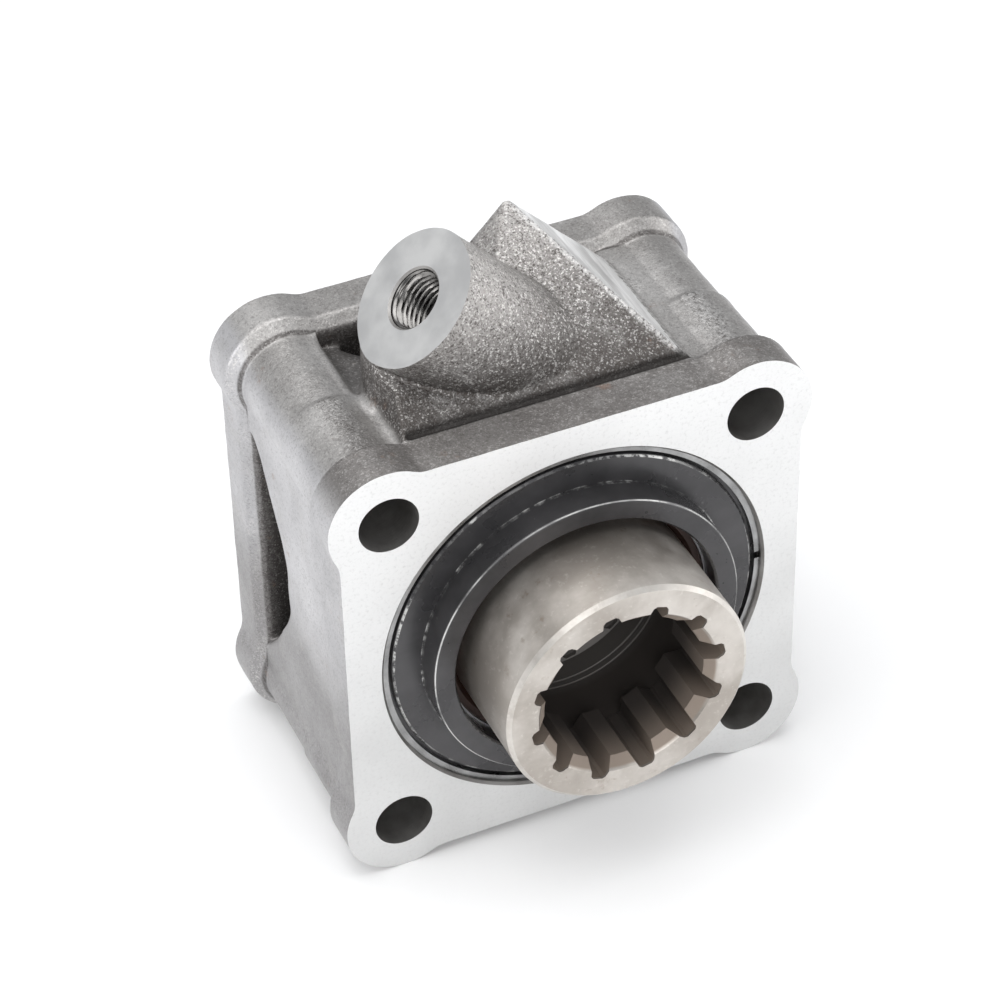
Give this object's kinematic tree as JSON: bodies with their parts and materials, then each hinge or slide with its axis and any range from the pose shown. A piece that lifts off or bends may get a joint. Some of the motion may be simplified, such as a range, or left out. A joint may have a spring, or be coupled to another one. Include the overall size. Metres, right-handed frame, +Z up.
{
  "type": "power take off unit",
  "caption": "Square cast power take off housing with a splined output hub in a raised pilot ring, a slanted air port and an air shifted clutch sleeve inside.",
  "frame": {"origin": "on the hub axis, in the machined front face, at the centre of the four mounting holes", "axes": "+Y along the hub axis into the housing, towards the gearbox; +Z up, with the air port on the upper left; +X right"},
  "size_m": [0.099, 0.083, 0.1257],
  "materials": {
    "cast_iron": "rough cast, machined on the front face, the port face and the bores",
    "blackened_steel": "black oxide, semi gloss",
    "bright_steel": "bright spring steel",
    "hub_steel": "turned and broached, light tarnish",
    "bearing_steel": "ground",
    "cage_brass": "satin",
    "seal_steel": "pressed sheet",
    "seal_rubber": "brown nitrile",
    "black_rubber": "black nitrile",
    "dark_steel": "phosphated spring steel",
    "gear_steel": "machined, oiled",
    "bronze": "sintered bronze"
  },
  "bodies": {
    "housing_body": {"housing": "cast_iron", "pilot_ring": "blackened_steel", "pilot_o_ring": "black_rubber", "snap_ring": "bright_steel", "oil_seal_case": "seal_steel", "oil_seal_lip": "seal_rubber", "seal_garter_spring": "bright_steel", "front_bearing_outer_race": "bearing_steel", "rear_bearing_outer_race": "bearing_steel", "rear_snap_ring": "dark_steel", "plunger_spring": "bright_steel"},
    "hub_body": {"output_hub": "hub_steel", "front_bearing_inner_race": "bearing_steel", "hub_circlip": "dark_steel", "pilot_bush": "bronze"},
    "front_ball_set": {"front_bearing_balls": "bearing_steel", "front_bearing_cage": "cage_brass"},
    "sleeve_body": {"shift_sleeve": "gear_steel"},
    "shoe_body": {"shift_shoe": "gear_steel"},
    "plunger_body": {"shift_plunger": "gear_steel", "plunger_o_ring": "black_rubber"},
    "input_body": {"input_shaft": "gear_steel", "rear_bearing_inner_race": "bearing_steel", "input_circlip": "dark_steel"},
    "rear_ball_set": {"rear_bearing_balls": "bearing_steel", "rear_bearing_cage": "cage_brass"}
  },
  "joints": [
    {"name": "hub_spin", "type": "hinge", "parent": "housing_body", "child": "hub_body", "pos_m": [0, 0, 0], "axis": [0, 1, 0], "continuous": true},
    {"name": "front_balls_spin", "type": "hinge", "parent": "housing_body", "child": "front_ball_set", "pos_m": [0, 0.011, 0], "axis": [0, 1, 0], "continuous": true},
    {"name": "input_spin", "type": "hinge", "parent": "housing_body", "child": "input_body", "pos_m": [0, 0.051, 0], "axis": [0, 1, 0], "continuous": true},
    {"name": "rear_balls_spin", "type": "hinge", "parent": "housing_body", "child": "rear_ball_set", "pos_m": [0, 0.051, 0], "axis": [0, 1, 0], "continuous": true},
    {"name": "plunger_slide", "type": "slide", "parent": "housing_body", "child": "plunger_body", "axis": [0.7071, 0, -0.7071], "range_m": [0, 0.0055], "stiffness_N_per_m": 2000, "springref_m": -0.002, "deforming": ["plunger_spring"]},
    {"name": "shoe_slide", "type": "slide", "parent": "housing_body", "child": "shoe_body", "axis": [0, 1, 0], "range_m": [0, 0.0055]},
    {"name": "sleeve_slide", "type": "slide", "parent": "hub_body", "child": "sleeve_body", "axis": [0, 1, 0], "range_m": [0, 0.0055]}
  ],
  "couplings": [
    {"joint": "front_balls_spin", "follows": "hub_spin", "ratio": 0.44615},
    {"joint": "rear_balls_spin", "follows": "input_spin", "ratio": 0.41856},
    {"joint": "shoe_slide", "follows": "plunger_slide", "ratio": 1},
    {"joint": "sleeve_slide", "follows": "plunger_slide", "ratio": 1}
  ]
}
